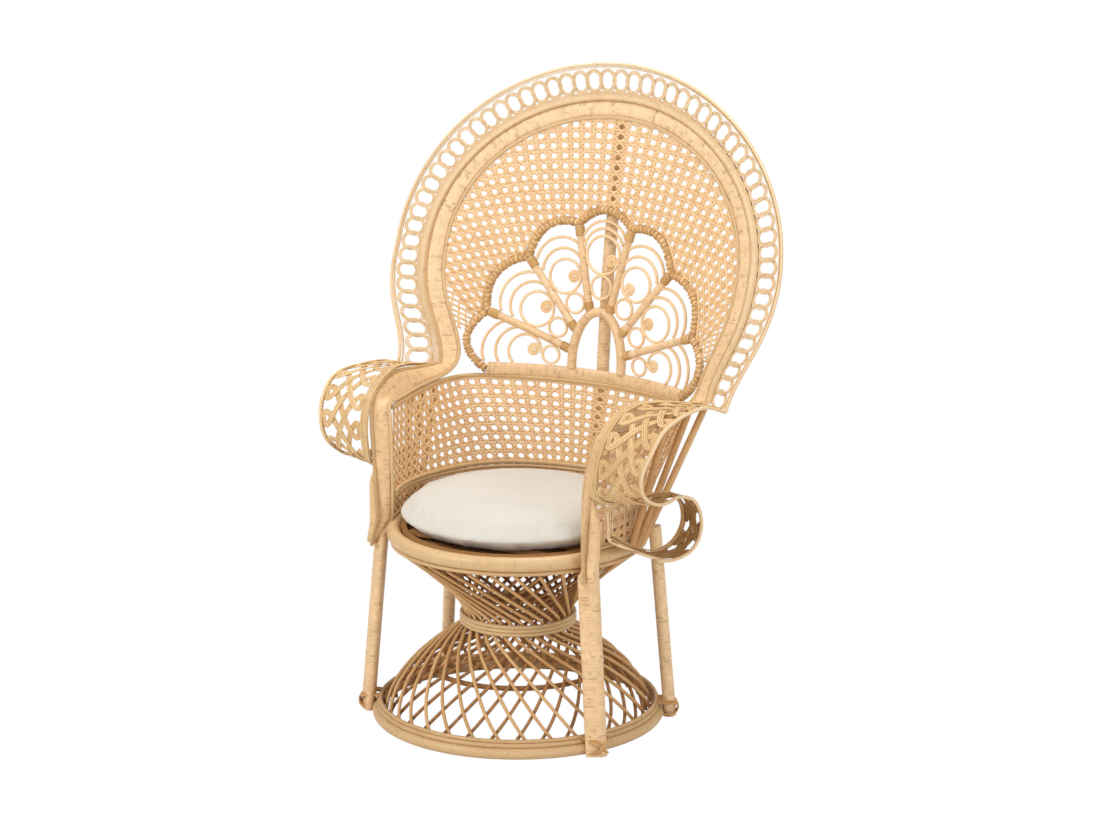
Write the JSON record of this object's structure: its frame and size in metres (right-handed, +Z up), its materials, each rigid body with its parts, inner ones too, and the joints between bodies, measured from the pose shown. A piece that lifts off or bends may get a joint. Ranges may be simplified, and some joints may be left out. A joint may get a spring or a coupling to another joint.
{
  "type": "peacock chair",
  "caption": "Rattan peacock chair: tall arched back with a fan and a pierced border, rolled woven arm wings, an hourglass base of crossing rods and a loose round cushion.",
  "frame": {"origin": "centre of the overall box at the floor", "axes": "+Z up, -Y towards the front of the seat, +X towards the left of a person sitting in it"},
  "size_m": [1.0184, 0.795, 1.4239],
  "materials": {
    "cane": "peeled rattan with a satin lacquer",
    "wrapped_cane": "cane closely wrapped with satin peel",
    "dark_cane": "darker unlacquered rattan core and raffia",
    "pale_cane": "pale flat cane, matt",
    "linen": "cream woven linen"
  },
  "bodies": {
    "chair": {"base_hoop": "cane", "base_middle_hoop": "cane", "base_top_hoop": "cane", "lattice_outer": "cane", "waist_hoops": "cane", "seat_under_hoop": "cane", "band_inner_bead": "cane", "band_outer_bead": "cane", "gallery_top_rail": "cane", "gallery_foot_rail": "cane", "gallery_webbing": "cane", "back_webbing": "cane", "arm_strut_1_right": "cane", "arm_strut_1_left": "cane", "arm_strut_2_right": "cane", "arm_strut_2_left": "cane", "arm_strut_3_right": "cane", "arm_strut_3_left": "cane", "seat_hoop": "wrapped_cane", "arch_band": "wrapped_cane", "arm_band_right": "wrapped_cane", "arm_band_left": "wrapped_cane", "fan_plinth": "wrapped_cane", "fan_frame": "wrapped_cane", "back_post": "wrapped_cane", "leg_front_right": "wrapped_cane", "leg_front_left": "wrapped_cane", "leg_rear_right": "wrapped_cane", "leg_rear_left": "wrapped_cane", "leg_companion_right": "wrapped_cane", "leg_companion_left": "wrapped_cane", "fan_scallop_1": "wrapped_cane", "fan_scallop_2": "wrapped_cane", "fan_scallop_3": "wrapped_cane", "fan_scallop_4": "wrapped_cane", "fan_scallop_5": "wrapped_cane", "fan_scallop_6": "wrapped_cane", "fan_scallop_7": "wrapped_cane", "lattice_inner": "dark_cane", "skirt_inner_hoop": "dark_cane", "seat_deck": "dark_cane", "lashing_front_right": "dark_cane", "lashing_front_left": "dark_cane", "lashing_rear_right": "dark_cane", "lashing_rear_left": "dark_cane", "border_weave": "pale_cane", "wing_weave_right": "pale_cane", "wing_weave_left": "pale_cane", "outer_rim": "pale_cane", "fan_scroll_1": "pale_cane", "fan_scroll_2": "pale_cane", "fan_scroll_3": "pale_cane", "fan_scroll_4": "pale_cane", "fan_scroll_5": "pale_cane", "fan_scroll_6": "pale_cane", "fan_scroll_7": "pale_cane"},
    "cushion": {"seat_cushion": "linen"}
  },
  "joints": [
    {"name": "cushion_lift", "type": "slide", "parent": "chair", "child": "cushion", "axis": [0, 0, 1], "range_m": [0, 0.2]}
  ]
}
